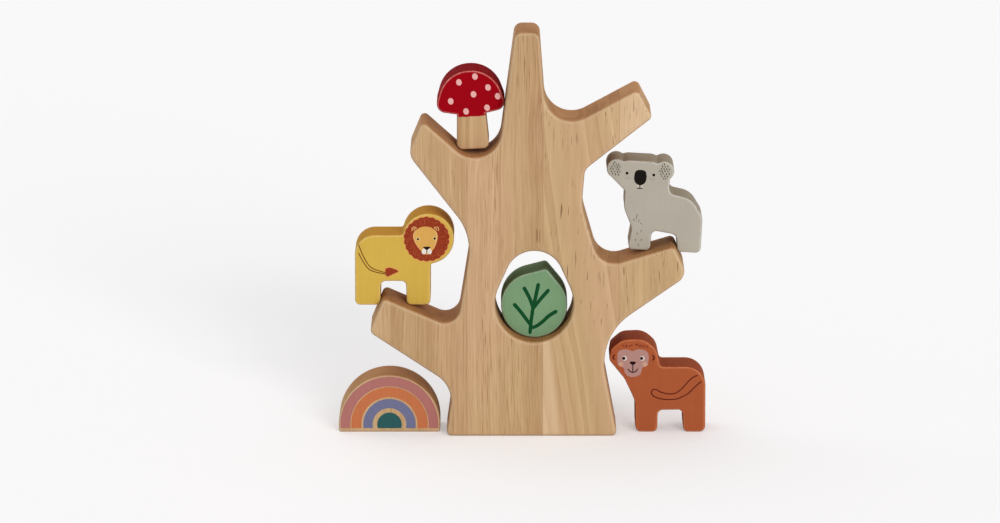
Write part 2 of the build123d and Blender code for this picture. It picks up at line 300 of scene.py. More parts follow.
# Lion: the middle of its mane, the mane's radius, points, scallops and sway, how far its pale edge
# reaches as a share of it, and the rings of hairs in it
MANE_CENTRE = (43.0, 40.4)
MANE_RADIUS = 13.1
MANE_POINTS = 240
MANE_SCALLOPS = 11
MANE_SCALLOP_DEPTH = 0.6
MANE_SWAYS = 5
MANE_SWAY_DEPTH = 0.12
MANE_EDGE = 1.03
HAIR_RINGS = ((9.2, 34), (10.4, 40), (11.6, 44))
HAIR_WIDTH = 0.22
HAIR_LENGTHS = (0.7, 1.3)
HAIR_JITTER = 0.4
HAIR_TURN_JITTER = 0.3
DARK_HAIRS = 0.4

# Koala: the middle and reach of the dashes in each ear, their rows, spacing, size and lean
EAR_FURS = ((5.2, 48.6, 3.3, 4.6), (34.5, 48.8, 3.5, 4.7))
DASH_ROWS = 7
DASH_COLUMNS = 5
DASH_SPACING = (1.6, 1.5)
DASH_JITTER = 0.22
DASH_HALF = 0.34
DASH_HALF_JITTER = (-0.08, 0.1)
DASH_WIDTH = 0.48
DASH_LEAN = -70
DASH_LEAN_JITTER = 14
FRECKLE_SIZE = 0.42

# Lemur: how long the dark bands of its tail are and how far apart they start, in points of its line
BAND_LENGTH = 4
BAND_SPACING = 7

# Fox: the middle of its face, about which cheeks and ears are mirrored
FOX_MIDDLE = 14.3

# Crocodile: the places of its ridges and teeth along x, the heights of its rows of scales, and how
# far every second row is moved along
RIDGE_PLACES = range(19, 60, 5)
RIDGE_HALF = 1.9
TOOTH_PLACES = range(68, 82, 3)
TOOTH_HALF = 0.9
SCALE_ROWS = (16.0, 13.2, 10.4)
SCALE_SPAN = (17, 58)
SCALE_SPACING = 6
SCALE_SHIFT = 3
SCALE_HALF = 1.3


def srgb(colour):
    """Turns a screen colour of 0 to 255 into the linear colour that a shader takes."""
    linear = []
    for level in colour:
        share = level / 255
        linear.append(share / 12.92 if share <= 0.04045 else ((share + 0.055) / 1.055) ** 2.4)
    return (*linear, 1.0)


class Recipe:
    """A node material, built up by calls that return the sockets they make."""

    def __init__(self, name):
        self.material = bpy.data.materials.new(name)
        self.material.use_nodes = True
        self.tree = self.material.node_tree
        self.shader = self.tree.nodes["Principled BSDF"]
        self.coordinates = self.tree.nodes.new("ShaderNodeTexCoord").outputs
        self.position = self.place(self.coordinates["Object"], (1 / MM,) * 3)

    def plug(self, socket, value):
        """Links a socket to another, or sets it to a plain value."""
        if isinstance(value, bpy.types.NodeSocket):
            self.tree.links.new(value, socket)
        else:
            socket.default_value = value

    def place(self, vector, scale, shift=(0, 0, 0)):
        """Scales a position and then shifts it."""
        node = self.tree.nodes.new("ShaderNodeMapping")
        self.plug(node.inputs["Vector"], vector)
        node.inputs["Scale"].default_value = scale
        node.inputs["Location"].default_value = shift
        return node.outputs[0]

    def noise(self, vector, scale, detail, squeeze=None):
        """Soft random values from 0 to 1, with features about 1 / scale across."""
        node = self.tree.nodes.new("ShaderNodeTexNoise")
        self.plug(node.inputs["Vector"], self.place(vector, squeeze) if squeeze else vector)
        node.inputs["Scale"].default_value = scale
        node.inputs["Detail"].default_value = detail
        return node.outputs["Fac"]

    def math(self, operation, *values):
        """One Math node."""
        node = self.tree.nodes.new("ShaderNodeMath")
        node.operation = operation
        for socket, value in zip(node.inputs, values):
            self.plug(socket, value)
        return node.outputs[0]

    def total(self, *values):
        """Adds values up."""
        result = values[0]
        for value in values[1:]:
            result = self.math("ADD", result, value)
        return result

    def times(self, *values):
        """Multiplies values."""
        result = values[0]
        for value in values[1:]:
            result = self.math("MULTIPLY", result, value)
        return result

    def rest(self, value):
        """What is left of 1 after a value."""
        return self.math("SUBTRACT", 1.0, value)

    def gap(self, first, second):
        """How far apart two values are."""
        return self.math("ABSOLUTE", self.math("SUBTRACT", first, second))

    def swing(self, value, amount):
        """A random value's distance from its middle, times an amount."""
        return self.times(self.math("SUBTRACT", value, 0.5), amount)

    def ramp(self, value, start, end):
        """Goes smoothly from 0 to 1 while a value goes from start to end."""
        node = self.tree.nodes.new("ShaderNodeMapRange")
        node.interpolation_type = "SMOOTHSTEP"
        self.plug(node.inputs["Value"], value)
        node.inputs["From Min"].default_value = start
        node.inputs["From Max"].default_value = end
        return node.outputs[0]

    def mix(self, share, first, second, blend="MIX"):
        """Mixes two colours."""
        node = self.tree.nodes.new("ShaderNodeMix")
        node.data_type = "RGBA"
        node.blend_type = blend
        colour_inputs = [socket for socket in node.inputs if socket.type == "RGBA"]
        self.plug(node.inputs[0], share)
        self.plug(colour_inputs[0], first)
        self.plug(colour_inputs[1], second)
        return next(socket for socket in node.outputs if socket.type == "RGBA")

    def shaded(self, colour, values, amounts):
        """A screen colour, made lighter and darker by random values."""
        swings = [self.swing(value, amount) for value, amount in zip(values, amounts)]
        node = self.tree.nodes.new("ShaderNodeVectorMath")
        node.operation = "SCALE"
        node.inputs[0].default_value = srgb(colour)[:3]
        self.plug(node.inputs["Scale"], self.total(1.0, *swings))
        return node.outputs[0]

    def push(self, vector, distance):
        """Moves a position sideways by a value."""
        sideways = self.tree.nodes.new("ShaderNodeCombineXYZ")
        self.plug(sideways.inputs["X"], distance)
        node = self.tree.nodes.new("ShaderNodeVectorMath")
        self.plug(node.inputs[0], vector)
        self.plug(node.inputs[1], sideways.outputs[0])
        return node.outputs[0]

    def part_of(self, vector, axis):
        """One coordinate of a position."""
        node = self.tree.nodes.new("ShaderNodeSeparateXYZ")
        self.plug(node.inputs[0], vector)
        return node.outputs[axis]

    def facing(self, axis):
        """How squarely the surface faces along an axis, either way, from 0 to 1."""
        return self.math("ABSOLUTE", self.part_of(self.coordinates["Normal"], axis))

    def finish(self, colour, roughness, relief, relief_depth, gloss):
        """Connects the finished channels to the shader."""
        self.shader.inputs["Specular IOR Level"].default_value = gloss
        bump = self.tree.nodes.new("ShaderNodeBump")
        bump.inputs["Distance"].default_value = relief_depth
        self.plug(bump.inputs["Height"], relief)
        self.plug(self.shader.inputs["Base Color"], colour)
        self.plug(self.shader.inputs["Roughness"], roughness)
        self.plug(self.shader.inputs["Normal"], bump.outputs[0])
        return self.material


def grain(recipe, seed):
    """A position that wanders a little, and coarse and fine upright wood fibres along it."""
    chance = random.Random(seed)
    shift = [chance.uniform(0, PATTERN_RANGE) for _ in range(3)]
    moved = recipe.place(recipe.position, (1, 1, 1), shift)
    wandering = recipe.push(moved, recipe.swing(recipe.noise(moved, *DRIFT), DRIFT_REACH))
    return wandering, recipe.noise(wandering, *FIBRES), recipe.noise(wandering, *FINE_FIBRES)


def board_edges(recipe, colour, front_ramp, side, end, rim):
    """Darkens a board's sides and ends by a tint of painted shade, for bare wood partly its grain,
    and pales its rims with a painted highlight, and also says where the sides are.

    The last three values are each a colour and its strength.
    """
    facing = recipe.facing("Y")
    sides = recipe.rest(recipe.ramp(facing, *front_ramp))
    ends = recipe.ramp(recipe.facing("Z"), *END_RAMP)
    # Painted shade on the sides and ends
    for share, (tint, strength) in ((sides, side), (ends, end)):
        colour = recipe.mix(recipe.times(share, strength), colour, (*tint, 1.0), "MULTIPLY")
    # Painted highlight along the rounded rims
    rims = recipe.times(*(recipe.ramp(facing, *limits) for limits in RIM_RAMPS))
    rim_colour, rim_strength = rim
    return recipe.mix(recipe.times(rims, rim_strength), colour, srgb(rim_colour)), sides


def wood_colour(recipe, seed, tone, lines, rings, flecks, lean=0.0, fibre=1.0, ring_scale=0.2):
    """Pale close-grained wood: soft bands, fibres, thin dark lines and short dark flecks."""
    wandering, fibres, fine_fibres = grain(recipe, seed)
    height = recipe.part_of(recipe.position, "Z")
    leaning = recipe.push(wandering, recipe.times(height, lean))
    growth = recipe.noise(leaning, ring_scale, RING_DETAIL, RING_SQUEEZE)
    lightness = recipe.total(
        0.5 + tone,
        recipe.swing(recipe.noise(leaning, *WIDE_BANDS), BAND_SWING),
        recipe.swing(recipe.math("FRACT", recipe.times(growth, RING_STEPS)), RING_SWING * rings),
        recipe.swing(fibres, FIBRE_SWING * fibre),
        recipe.swing(fine_fibres, FINE_FIBRE_SWING * fibre),
    )
    colour = recipe.mix(lightness, srgb(WOOD_DARK), srgb(WOOD_LIGHT))
    blush = recipe.ramp(recipe.noise(leaning, *BLUSH), *BLUSH_RAMP)
    blush_tint = recipe.mix(blush, (*WOOD_YELLOW_TINT, 1.0), (*WOOD_PINK_TINT, 1.0))
    colour = recipe.mix(1.0, colour, blush_tint, "MULTIPLY")
    needles = recipe.ramp(recipe.noise(wandering, *NEEDLES), *NEEDLE_RAMP)
    needle_patches = recipe.ramp(recipe.noise(wandering, *NEEDLE_PATCHES), *NEEDLE_PATCH_RAMP)
    colour = recipe.mix(recipe.times(needles, needle_patches, lines), colour, srgb(WOOD_LINE))
    pores = recipe.ramp(recipe.noise(wandering, *PORES), *PORE_RAMP)
    patch_ramp = [limit - FLECK_REACH * flecks for limit in PORE_PATCH_RAMP]
    pore_patches = recipe.ramp(recipe.noise(wandering, *PORE_PATCHES), *patch_ramp)
    marks = recipe.times(pores, pore_patches, recipe.ramp(height, *FLECK_HEIGHTS))
    colour = recipe.mix(recipe.times(marks, FLECK_STRENGTH), colour, srgb(WOOD_FLECK))
    # Sides and ends darker, partly grain and partly painted shade, and rims paler by a painted
    # highlight
    side, end, rim = (WOOD_SIDE_GRAIN_AND_SHADE_TINT, 1.0), (WOOD_END_GRAIN_AND_SHADE_TINT, 1.0), (WOOD_PALE, WOOD_RIM_HIGHLIGHT_STRENGTH)
    colour, sides = board_edges(recipe, colour, WOOD_FRONT_RAMP, side, end, rim)
    relief = recipe.total(fibres, fine_fibres, recipe.times(marks, FLECK_RELIEF))
    roughness = recipe.total(
        WOOD_ROUGHNESS,
        recipe.swing(fibres, WOOD_ROUGHNESS_SWING),
        recipe.times(sides, WOOD_SIDE_ROUGHNESS),
    )
    return colour, roughness, relief


def mark(recipe, x, low, high, width, lean):
    """Is 1 on an upright streak and 0 beside it, for the marks in the wood and for the band of
    painted sheen.
    """
    height = recipe.part_of(recipe.position, "Z")
    middle = recipe.total(x, recipe.times(height, lean))
    distance = recipe.gap(recipe.part_of(recipe.position, "X"), middle)
    beside = recipe.ramp(distance, *(share * width for share in MARK_EDGE))
    ends = recipe.times(
        recipe.ramp(height, low, low + MARK_FADE), recipe.ramp(height, high, high - MARK_FADE)
    )
    return recipe.times(recipe.rest(beside), ends)


def stave_wood(stave, seed, look, joints):
    """Bare wood of one stave, darker in a hairline along its glue joints."""
    recipe = Recipe(f"wood_{stave}")
    colour, roughness, relief = wood_colour(recipe, seed, **look)
    face_on = recipe.ramp(recipe.facing("Y"), *MARK_FRONT_RAMP)
    for *place, tint, strength in STAVE_MARKS_AND_SHEEN.get(stave, []):
        shown = recipe.times(mark(recipe, *place), face_on, strength)
        colour = recipe.mix(shown, colour, srgb(tint))
    across = recipe.part_of(recipe.position, "X")
    for joint in joints:
        seam = recipe.rest(recipe.ramp(recipe.gap(across, joint / MM), 0.0, SEAM_WIDTH))
        colour = recipe.mix(recipe.times(seam, SEAM_STRENGTH), colour, srgb(WOOD_FLECK))
    return recipe.finish(colour, roughness, relief, STAVE_RELIEF, WOOD_GLOSS)


def paint_colour(recipe, seed, front, side_shade_tint, rim=None):
    """Thin matt paint: the grain shows through it, its sides and ends are darker by painted shade,
    and its rims are pale by a painted highlight and wear.
    """
    _, fibres, fine_fibres = grain(recipe, seed)
    clouds = recipe.noise(recipe.position, *PAINT_CLOUDS)
    colour = recipe.shaded(front, (fibres, fine_fibres, clouds), PAINT_SHADES)
    patches = recipe.ramp(recipe.noise(recipe.position, *WEAR_PATCHES), *WEAR_RAMP)
    highlight_and_wear = recipe.total(RIM_HIGHLIGHT_AND_WEAR_LEAST, recipe.times(patches, WEAR_PATCHINESS))
    pale = rim or tuple(level + RIM_PALENESS * (255 - level) for level in front)
    # Painted shade on the sides and ends, and a painted highlight, with wear in patches, on the rims
    side, end = (side_shade_tint, PAINT_SIDE_SHADE_STRENGTH), (side_shade_tint, PAINT_END_SOAK_AND_SHADE_STRENGTH)
    colour, sides = board_edges(recipe, colour, PAINT_FRONT_RAMP, side, end, (pale, highlight_and_wear))
    roughness = recipe.total(
        PAINT_ROUGHNESS,
        recipe.swing(clouds, PAINT_CLOUD_ROUGHNESS),
        recipe.swing(fine_fibres, PAINT_FIBRE_ROUGHNESS),
        recipe.times(sides, PAINT_SIDE_ROUGHNESS),
    )
    return colour, roughness, recipe.total(fibres, fine_fibres, clouds)


def paint(figure):
    """Painted wood of one figure."""
    recipe = Recipe(f"{figure}_paint")
    return recipe.finish(*paint_colour(recipe, *PAINTS[figure]), PAINT_RELIEF, PAINT_GLOSS)


def ink(name, seed, colour):
    """Printed ink, a little uneven, with the grain just showing."""
    recipe = Recipe(f"{name}_ink")
    _, fibres, fine_fibres = grain(recipe, seed)
    blots = recipe.noise(recipe.position, *INK_BLOTS)
    uneven = recipe.shaded(colour, (fibres, fine_fibres, blots), INK_SHADES)
    roughness = recipe.total(INK_ROUGHNESS, recipe.swing(blots, INK_ROUGHNESS_SWING))
    return recipe.finish(uneven, roughness, recipe.total(fibres, blots), INK_RELIEF, INK_GLOSS)


def make_inks():
    """All the inks, which the prints then take by name."""
    for name, look in INKS.items():
        ink(name, *look)


def bend(t, a, b, c, d):
    """A value on the smooth curve from b to c, which comes from a and goes on to d, at a share t."""
    return 0.5 * (
        2 * b + (c - a) * t + (2 * a - 5 * b + 4 * c - d) * t**2 + (3 * b - a - 3 * c + d) * t**3
    )


def smooth(points, closed=True, steps=6):
    """A smooth line through a few points."""
    count = len(points)
    line = []
    for index in range(count if closed else count - 1):
        near = [index - 1, index, index + 1, index + 2]
        if closed:
            near = [number % count for number in near]
        else:
            near = [min(max(number, 0), count - 1) for number in near]
        corners = list(zip(*(points[number] for number in near)))
        for step in range(steps):
            line.append(tuple(bend(step / steps, *values) for values in corners))
    if not closed:
        line.append(tuple(points[-1]))
    return line


def around(centre, radius, angle):
    """The place at a distance and an angle from a centre."""
    return centre[0] + radius * math.cos(angle), centre[1] + radius * math.sin(angle)


def oval(x, z, width, height, turn=0.0, count=40):
    """An oval of a width and a height, turned by some degrees."""
    lean = math.radians(turn)
    outline = []
    for index in range(count):
        angle = 2 * math.pi * index / count
        across, up = width / 2 * math.cos(angle), height / 2 * math.sin(angle)
        outline.append(
            (
                x + across * math.cos(lean) - up * math.sin(lean),
                z + across * math.sin(lean) + up * math.cos(lean),
            )
        )
    return outline


def ovals(places, width, height, turn=0.0, count=40):
    """The same oval at several places."""
    return [oval(x, z, width, height, turn, count) for x, z in places]


def stroke(points, width, end_width=None, steps=6, cap_steps=5):
    """The outline of a pen stroke along a smooth line, round at both ends."""
    line = smooth(points, closed=False, steps=steps)
    last = len(line) - 1
    left, right, headings = [], [], []
    for index, (x, z) in enumerate(line):
        ahead, behind = line[min(index + 1, last)], line[max(index - 1, 0)]
        heading = math.atan2(ahead[1] - behind[1], ahead[0] - behind[0])
        half = (width + ((end_width or width) - width) * index / last) / 2
        side = (math.sin(heading), -math.cos(heading))
        left.append((x - half * side[0], z - half * side[1]))
        right.append((x + half * side[0], z + half * side[1]))
        headings.append((heading, half))
    end_heading, end_half = headings[-1]
    start_heading, start_half = headings[0]
    end_cap = cap(line[-1], end_heading, end_half, cap_steps)
    start_cap = cap(line[0], start_heading + math.pi, start_half, cap_steps)
    return right + end_cap + left[::-1] + start_cap


def cap(centre, heading, half, cap_steps):
    """The points between the sides of a pen stroke, around its end."""
    turns = [heading - math.pi / 2 + math.pi * step / cap_steps for step in range(1, cap_steps)]
    return [around(centre, half, turn) for turn in turns]


def arc(radius):
    """One line of the rainbow, from its right foot to its left foot."""
    low = math.asin((ARCH_FOOT - ARCH_CENTRE[1]) / radius)
    angles = [low + (math.pi - 2 * low) * index / ARC_STEPS for index in range(ARC_STEPS + 1)]
    return [around(ARCH_CENTRE, radius, angle) for angle in angles]


def mirrored(outline, x):
    """The mirror image of an outline about an upright line."""
    return [(2 * x - across, up) for across, up in outline][::-1]


def add_plate(form, places, outside, inside):
    """Adds a flat closed plate between two depths."""
    outer = [form.verts.new((x, outside, z)) for x, z in places]
    inner = [form.verts.new((x, inside, z)) for x, z in places]
    form.faces.new(outer)
    form.faces.new(inner[::-1])
    for index, corner in enumerate(outer):
        before = index - 1
        form.faces.new((outer[before], inner[before], inner[index], corner))


def printed(figure, part, colour, outlines, layer=1):
    """Lays flat outlines on both faces of a figure as thin closed plates in one piece."""
    low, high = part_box(figure)
    shift_x, shift_z = ORIGINS[figure]
    lean = math.radians(TILTS.get(figure, 0.0))
    mesh = bpy.data.meshes.new(f"{figure}_{part}")
    form = bmesh.new()
    for number, outline in enumerate(outlines):
        rise = (layer * LAYER + number % PLATE_LEVELS * PLATE_STEP) * MM
        places = [
            (
                low.x + (shift_x + x * math.cos(lean) - z * math.sin(lean)) * MM,
                low.z + (shift_z + x * math.sin(lean) + z * math.cos(lean)) * MM,
            )
            for x, z in outline
        ]
        add_plate(form, places, low.y - rise, low.y + SINK * MM)
        add_plate(form, places, high.y + REAR_SHARE * rise, high.y - SINK * MM)
    bmesh.ops.recalc_face_normals(form, faces=form.faces)
    bmesh.ops.triangulate(form, faces=[face for face in form.faces if len(face.verts) > 4])
    form.to_mesh(mesh)
    form.free()
    piece = bpy.data.objects.new(f"{figure}_{part}", mesh)
    bpy.context.scene.collection.objects.link(piece)
    mesh.materials.append(bpy.data.materials[f"{figure}_{colour}_ink"])
    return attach(piece, figure)


def dress(node, material):
    """Gives a node of the model its material."""
    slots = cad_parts[node].data.materials
    slots.clear()
    slots.append(material)


def dress_tree():
    """Gives every stave its own wood, with dark hairlines where staves are glued together."""
    joints = {round(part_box("left_stave_1a")[side].x, 6) for side in (0, 1)}
    joints |= {round(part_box("right_stave_1a")[1].x, 6), round(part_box("left_stave_3a")[1].x, 6)}
    for seed, (stave, look) in enumerate(STAVE_LOOKS.items()):
        dress(stave, stave_wood(stave, seed, look, sorted(joints)))


def dress_mushroom():
    """A red cap with pale dots on a bare stalk."""
    recipe = Recipe("mushroom_paint")
    low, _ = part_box("mushroom")
    shift_x, shift_z = ORIGINS["mushroom"]
    local = recipe.tree.nodes.new("ShaderNodeMapping")
    local.vector_type = "TEXTURE"
    recipe.plug(local.inputs["Vector"], recipe.coordinates["Object"])
    local.inputs["Location"].default_value = (low.x + shift_x * MM, 0, low.z + shift_z * MM)
    local.inputs["Rotation"].default_value = (0, -math.radians(TILTS["mushroom"]), 0)
    local.inputs["Scale"].default_value = (MM,) * 3
    wood, roughness, relief = wood_colour(recipe, **STALK_LOOK)
    red, _, _ = paint_colour(recipe, *PAINTS["mushroom"])
    wander = recipe.swing(recipe.noise(recipe.position, *BRUSH_WOBBLE), CAP_WANDER)
    brush_line = recipe.total(recipe.part_of(local.outputs[0], "Z"), wander)
    colour = recipe.mix(recipe.ramp(brush_line, *CAP_START), wood, red)
    dress("mushroom", recipe.finish(colour, roughness, relief, FIGURE_RELIEF, CAP_GLOSS))
    dots = [
        (-6.3, 41.0), (10.8, 37.0), (2.0, 33.3), (-11.8, 29.8), (16.3, 31.4), (-3.0, 23.2),
        (9.6, 24.8), (3.4, 44.0),
    ]
    printed("mushroom", "dots", "dot", ovals(dots, *DOT_SIZE, DOT_TURN))


def dress_leaf():
    """A green leaf with a stem and two pairs of veins."""
    dress("leaf", paint("leaf"))
    veins = [
        [(2.4, 32.5), (0.6, 23.8), (-0.6, 19.0), (-1.2, 14.8), (-1.8, 10.5), (-2.5, 3.2)],
        [(-5.9, 30.3), (-2.8, 24.4), (-0.8, 18.6)],
        [(8.3, 28.9), (3.9, 23.8), (-0.2, 18.4)],
        [(-11.7, 20.2), (-8.1, 16.0), (-4.4, 10.9), (-2.0, 7.9)],
        [(12.9, 16.0), (8.7, 13.3), (5.1, 9.9), (1.5, 7.2), (-1.8, 6.0)],
    ]
    printed("leaf", "veins", "vein", [stroke(vein, 2.25, 2.05) for vein in veins])


def dress_rainbow():
    """Four painted arches on bare wood."""
    recipe = Recipe("rainbow_wood")
    wood = wood_colour(recipe, **RAINBOW_LOOK)
    dress("rainbow", recipe.finish(*wood, FIGURE_RELIEF, WOOD_GLOSS))
    for colour, (inner, outer) in ARCHES.items():
        outline = arc(outer) + (arc(inner)[::-1] if inner else [])
        printed("rainbow", f"{colour}_arch", colour, [outline])


def mane_outline():
    """The scalloped outline of the lion's mane."""
    outline = []
    for index in range(MANE_POINTS):
        angle = 2 * math.pi * index / MANE_POINTS
        scallop = MANE_SCALLOP_DEPTH * abs(math.sin(MANE_SCALLOPS * angle))
        radius = MANE_RADIUS + scallop + MANE_SWAY_DEPTH * math.sin(MANE_SWAYS * angle)
        outline.append(around(MANE_CENTRE, radius, angle))
    return outline


def mane_hairs():
    """Short strokes that point outwards in the mane: the light ones and the dark ones."""
    chance = random.Random(7)
    hairs, dark_hairs = [], []
    for ring, count in HAIR_RINGS:
        for index in range(count):
            turn = index + chance.uniform(-HAIR_TURN_JITTER, HAIR_TURN_JITTER)
            angle = 2 * math.pi * turn / count
            start = ring + chance.uniform(-HAIR_JITTER, HAIR_JITTER)
            end = start + chance.uniform(*HAIR_LENGTHS)
            line = [around(MANE_CENTRE, reach, angle) for reach in (start, end)]
            kind = dark_hairs if chance.random() < DARK_HAIRS else hairs
            kind.append(stroke(line, HAIR_WIDTH, **SHORT))
    return hairs, dark_hairs


def dress_lion():
    """A yellow lion: a scalloped mane, a pale face and a tufted tail."""
    dress("lion", paint("lion"))
    middle_x, middle_z = MANE_CENTRE
    mane = mane_outline()
    edge = [
        (middle_x + MANE_EDGE * (x - middle_x), middle_z + MANE_EDGE * (z - middle_z))
        for x, z in mane
    ]
    tuft = [(18.4, 19.6), (18.5, 22.2), (21.3, 22.9), (25.9, 20.9), (22.4, 18.9), (19.4, 17.6)]
    tuft_edge = [
        (18.0, 19.4), (18.0, 22.6), (21.2, 23.4), (26.7, 20.9), (22.5, 18.4), (19.3, 17.1),
    ]
    printed("lion", "print_edges", "edge", [edge, smooth(tuft_edge)], 0.5)
    printed("lion", "mane", "mane", [mane])
    hairs, dark_hairs = mane_hairs()
    printed("lion", "mane_hairs", "hair", hairs, 2)
    printed("lion", "mane_dark_hairs", "dark_hair", dark_hairs, 2)
    cheeks = [
        (42.4, 47.7), (46.1, 47.1), (48.9, 44.9), (49.6, 41.8), (48.8, 37.9), (46.8, 34.0),
        (43.1, 31.5), (39.2, 33.8), (36.3, 37.9), (34.9, 41.8), (35.7, 45.0), (38.6, 47.1),
    ]
    face_x, face_z, narrower, taller = 42.6, 40, 0.88, 0.06
    face = [(face_x + narrower * (x - face_x), z + taller * (z - face_z)) for x, z in cheeks]
    printed("lion", "cheeks", "cheek", [smooth(cheeks)], 2)
    printed("lion", "face", "face", [smooth(face)], 3)
    ears = [
        [(34.3, 45.7), (34.3, 46.9), (35.2, 47.8), (36.4, 47.7), (37.0, 47.1)],
        [(50.2, 45.7), (50.2, 46.9), (49.3, 47.8), (48.1, 47.7), (47.5, 47.1)],
        [(35.4, 46.0), (35.7, 46.7), (36.3, 46.8)],
        [(49.1, 46.0), (48.8, 46.7), (48.2, 46.8)],
    ]
    printed("lion", "ears", "cheek", [stroke(ear, 0.5) for ear in ears], 3)
    muzzle = [oval(41.6, 33.1, 3.1, 3.8, -25), oval(44.5, 33.1, 3.1, 3.8, 25)]
    printed("lion", "muzzle", "white", muzzle, 4)
    eyes = [(37.8, 40.5), (47.8, 40.9)]
    printed("lion", "eye_rings", "eye_ring", ovals(eyes, 2.3, 2.3), 4)
    nose = [(40.9, 35.6), (43.1, 35.9), (45.3, 35.6), (44.1, 34.4), (43.1, 33.8), (42.1, 34.4)]
    lip = stroke([(43.1, 34.2), (43.1, 31.9)], 0.45)
    printed("lion", "nose_and_eyes", "black", [smooth(nose), *ovals(eyes, 1.4, 1.5), lip], 5)
    tail = [
        [(2.3, 36.8), (5.6, 29.0), (10.0, 22.9), (18.9, 19.7)],
        [(2.3, 31.9), (5.0, 26.6), (9.4, 21.4), (18.9, 18.9)],
    ]
    printed("lion", "tail", "tail", [stroke(line, 0.55) for line in tail])
    printed("lion", "tail_tuft", "mane", [smooth(tuft)], 2)


def ear_dashes():
    """Short dashes of fur in an oval in each of the koala's ears."""
    chance = random.Random(8)
    dashes = []
    for middle_x, middle_z, reach_x, reach_z in EAR_FURS:
        for row in range(DASH_ROWS):
            for column in range(DASH_COLUMNS):
                offset = column - DASH_COLUMNS // 2 + 0.5 * (row % 2) - 0.25
                jitter = [chance.uniform(-DASH_JITTER, DASH_JITTER) for _ in range(2)]
                x = middle_x + offset * DASH_SPACING[0] + jitter[0]
                z = middle_z + (row - DASH_ROWS // 2) * DASH_SPACING[1] + jitter[1]
                if math.hypot((x - middle_x) / reach_x, (z - middle_z) / reach_z) > 1.0:
                    continue
                turn = DASH_LEAN + chance.uniform(-DASH_LEAN_JITTER, DASH_LEAN_JITTER)
                lean = math.radians(turn)
                half = DASH_HALF + chance.uniform(*DASH_HALF_JITTER)
                across, up = half * math.cos(lean), half * math.sin(lean)
                line = [(x - across, z - up), (x + across, z + up)]
                dashes.append(stroke(line, DASH_WIDTH, steps=1, cap_steps=4))
    return dashes


def dress_koala():
    """A grey koala: a large dark nose and short dashes of fur in its ears."""
    dress("koala", paint("koala"))
    printed("koala", "cheeks", "white", ovals([(19.2, 38.8), (21.6, 38.8)], 1.4, 1.6))
    nose = [
        (20.4, 49.0), (23.2, 48.2), (24.1, 45.0), (23.4, 41.4), (20.4, 39.7), (17.4, 41.4),
        (16.7, 45.0), (17.6, 48.2),
    ]
    eyes = ovals([(12.3, 46.6), (28.3, 46.3)], 1.7, 1.7)
    lip = [
        stroke([(20.4, 40.0), (20.4, 37.8)], 0.5),
        stroke([(18.8, 38.1), (19.6, 37.6), (20.4, 37.8)], 0.45),
        stroke([(20.4, 37.8), (21.2, 37.6), (22.0, 38.1)], 0.45),
    ]
    printed("koala", "nose_and_eyes", "black", [smooth(nose), *eyes, *lip], 2)
    fur = [
        [(17.6, 18.9), (18.6, 17.6)], [(19.8, 21.9), (19.3, 18.9)], [(21.2, 18.6), (20.5, 17.2)],
        [(21.9, 16.7), (22.9, 16.0)], [(20.3, 10.6), (20.6, 9.2)], [(22.9, 12.4), (22.4, 11.0)],
        [(19.6, 6.8), (20.0, 5.4)], [(23.2, 7.0), (22.8, 5.6)], [(21.4, 3.9), (21.6, 2.7)],
    ]
    freckles = [(11.6, 43.6), (12.8, 43.0), (13.7, 43.9), (26.2, 44.0), (27.3, 43.1), (28.4, 43.8)]
    marks = ear_dashes()
    marks += [stroke(line, 0.3, 0.2, **SHORT) for line in fur]
    marks += ovals(freckles, FRECKLE_SIZE, FRECKLE_SIZE, count=SPECK_POINTS)
    printed("koala", "fur", "fur", marks)


